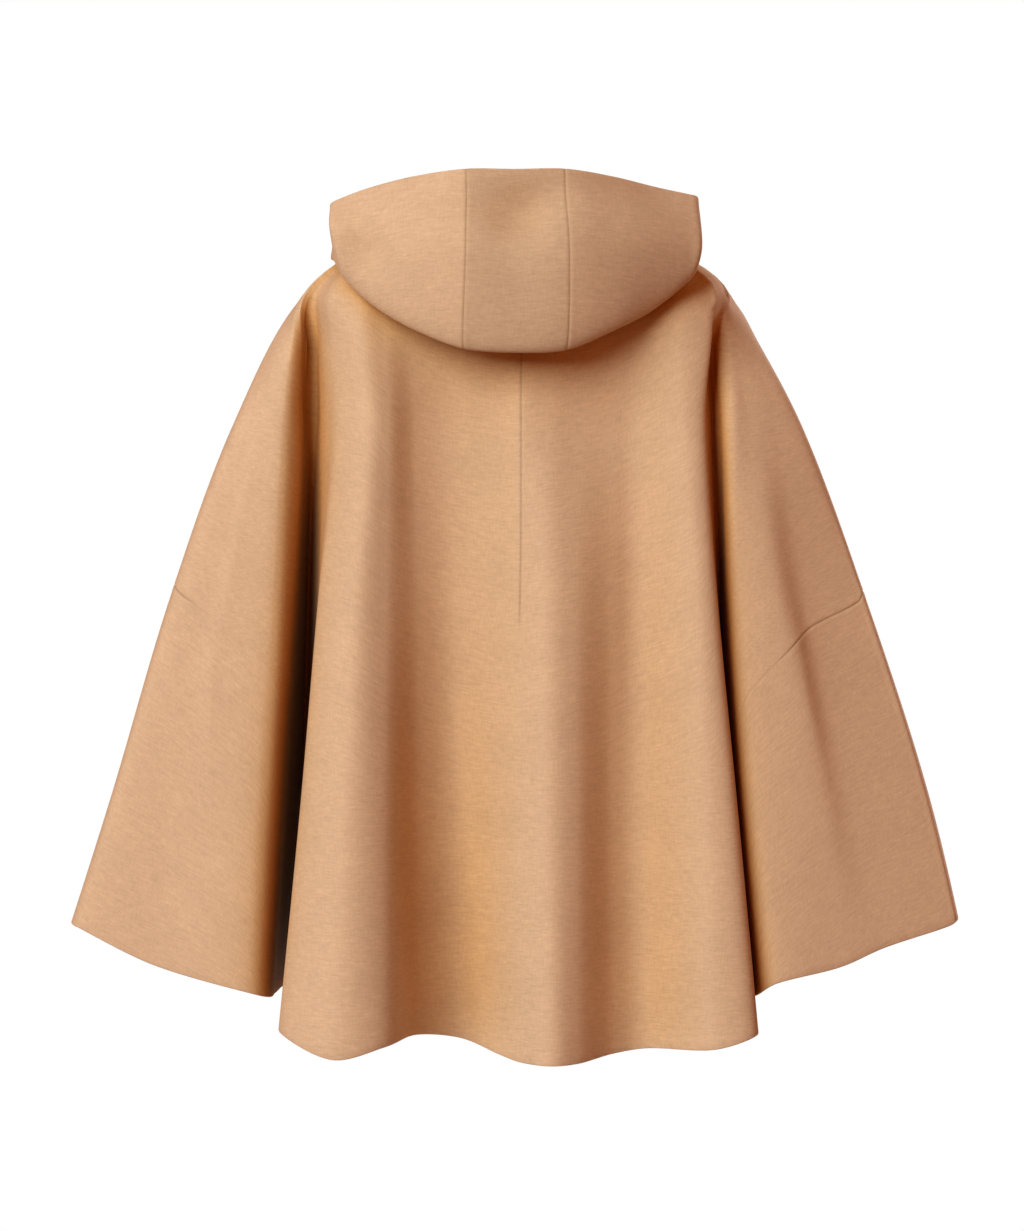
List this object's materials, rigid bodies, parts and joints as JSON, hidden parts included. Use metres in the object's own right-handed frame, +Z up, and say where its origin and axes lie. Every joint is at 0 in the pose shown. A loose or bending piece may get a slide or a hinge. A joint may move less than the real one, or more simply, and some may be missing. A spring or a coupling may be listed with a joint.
{
  "type": "hooded cloak",
  "caption": "Hooded cape-style cloak of double-faced wool with wide dropped sleeves, filled out as if worn, its hood folded down on the back.",
  "frame": {"origin": "middle of the neck opening at shoulder height, where the wearer's shoulders hold the garment", "axes": "+Z up, -Y towards the garment's back, +Y towards its front opening, +X towards the sleeve on the right when it is seen from behind"},
  "size_m": [0.8736, 0.3689, 0.856],
  "materials": {
    "body_wool": "matte camel melange double-faced wool with a short brushed nap",
    "sleeve_wool": "matte camel melange double-faced wool with a short brushed nap",
    "hood_wool": "matte camel melange double-faced wool with a short brushed nap"
  },
  "bodies": {
    "root": {"back": "body_wool", "front_left": "body_wool", "front_right": "body_wool", "sleeve_left": "sleeve_wool", "sleeve_right": "sleeve_wool", "hood_left": "hood_wool", "hood_centre": "hood_wool", "hood_right": "hood_wool"}
  },
  "joints": []
}
